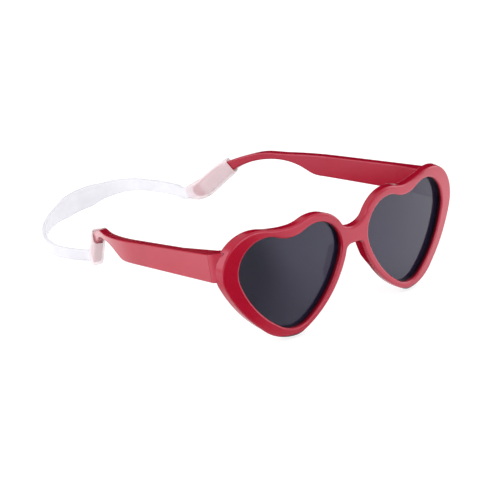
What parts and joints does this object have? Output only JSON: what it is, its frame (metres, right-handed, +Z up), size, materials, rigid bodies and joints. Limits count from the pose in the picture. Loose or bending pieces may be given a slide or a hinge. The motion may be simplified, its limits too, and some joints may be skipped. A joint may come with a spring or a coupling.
{
  "type": "heart shaped sunglasses",
  "caption": "Small child's sunglasses with a red moulded heart-shaped front, dark tinted lenses, folding temples on metal hinges and a clear soft strap joining the temple tips.",
  "frame": {"origin": "middle of the part's outline seen from above, on the surface that it lies on", "axes": "+Z up, the front looks along -Y, the wearer's left is +X"},
  "size_m": [0.1216, 0.1746, 0.0448],
  "materials": {
    "red_plastic": "satin moulded plastic",
    "lens_tint": "polished dark grey tint",
    "hinge_steel": "satin steel",
    "strap_silicone": "clear milky silicone"
  },
  "bodies": {
    "front": {"front_frame": "red_plastic", "lens_left": "lens_tint", "lens_right": "lens_tint", "hinge_front_leaf_left": "hinge_steel", "hinge_front_leaf_right": "hinge_steel", "hinge_screw_left": "hinge_steel", "hinge_screw_right": "hinge_steel", "strap_band": "strap_silicone"},
    "left_temple": {"temple_left": "red_plastic", "hinge_temple_leaf_left": "hinge_steel", "strap_sleeve_left": "strap_silicone"},
    "right_temple": {"temple_right": "red_plastic", "hinge_temple_leaf_right": "hinge_steel", "strap_sleeve_right": "strap_silicone"}
  },
  "joints": [
    {"name": "left_fold", "type": "hinge", "parent": "front", "child": "left_temple", "pos_m": [0.0542, -0.07425, 0.03317], "axis": [0, 0, 1], "range_deg": [0, 64], "deforming": ["strap_band"]},
    {"name": "right_fold", "type": "hinge", "parent": "front", "child": "right_temple", "pos_m": [-0.0542, -0.07425, 0.03317], "axis": [0, 0, -1], "range_deg": [0, 76], "deforming": ["strap_band"]}
  ]
}
